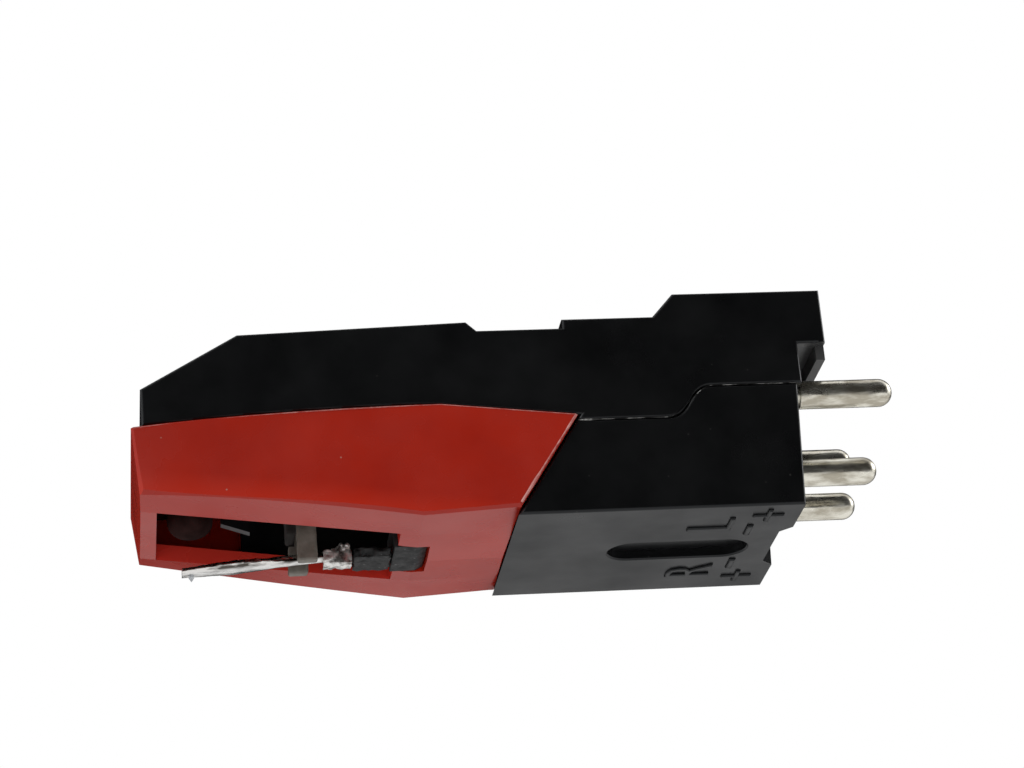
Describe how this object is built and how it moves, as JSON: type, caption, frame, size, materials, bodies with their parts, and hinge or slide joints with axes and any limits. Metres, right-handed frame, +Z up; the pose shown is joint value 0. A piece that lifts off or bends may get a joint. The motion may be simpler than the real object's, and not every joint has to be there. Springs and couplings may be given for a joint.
{
  "type": "turntable stylus cartridge",
  "caption": "Snap-in ceramic turntable cartridge: black two-part case, red swing-down stylus holder with a sprung lever, and round output pins at the rear.",
  "frame": {"origin": "middle of the flat seat on top of the case", "axes": "+X from the nose to the output pins, +Y across, +Z up out of the seat"},
  "size_m": [0.0377, 0.0124, 0.012],
  "materials": {
    "case_black": "moulded black plastic, low gloss",
    "holder_red": "moulded red plastic, satin gloss",
    "rubber": "matt black rubber",
    "lever_metal": "bright drawn metal",
    "stylus_stone": "polished stone",
    "ceramic": "fired ceramic with silvered faces",
    "yoke_plastic": "grey translucent plastic",
    "pin_plate": "bright tin plate",
    "contact_metal": "plain spring strip"
  },
  "bodies": {
    "case": {"upper_housing": "case_black", "lower_housing": "case_black", "coupling_yoke": "yoke_plastic", "left_ceramic_strip": "ceramic", "right_ceramic_strip": "ceramic", "left_damper_pad": "rubber", "right_damper_pad": "rubber", "rear_clamp": "rubber", "left_plus_pin": "pin_plate", "left_minus_pin": "pin_plate", "right_minus_pin": "pin_plate", "right_plus_pin": "pin_plate", "left_plus_contact": "contact_metal", "left_minus_contact": "contact_metal", "right_minus_contact": "contact_metal", "right_plus_contact": "contact_metal"},
    "stylus_unit": {"stylus_holder": "holder_red", "pivot_plug": "rubber"},
    "rubber_pivot": {"pivot_sleeve": "rubber"},
    "lever": {"cantilever": "lever_metal", "crimp_collar": "lever_metal", "stylus_tip": "stylus_stone"}
  },
  "joints": [
    {"name": "stylus_release", "type": "hinge", "parent": "case", "child": "stylus_unit", "pos_m": [-0.00907, 0, -0.01395], "axis": [0, -1, 0], "range_deg": [0, 10]},
    {"name": "stylus_sway", "type": "hinge", "parent": "stylus_unit", "child": "rubber_pivot", "pos_m": [-0.01804, 0, -0.01085], "axis": [0, 0, 1], "range_deg": [-2.5, 2.5], "stiffness_Nm_per_rad": 0.013},
    {"name": "stylus_lift", "type": "hinge", "parent": "rubber_pivot", "child": "lever", "pos_m": [-0.01997, 0, -0.0109], "axis": [0, 1, 0], "range_deg": [-2, 3], "stiffness_Nm_per_rad": 0.013}
  ]
}
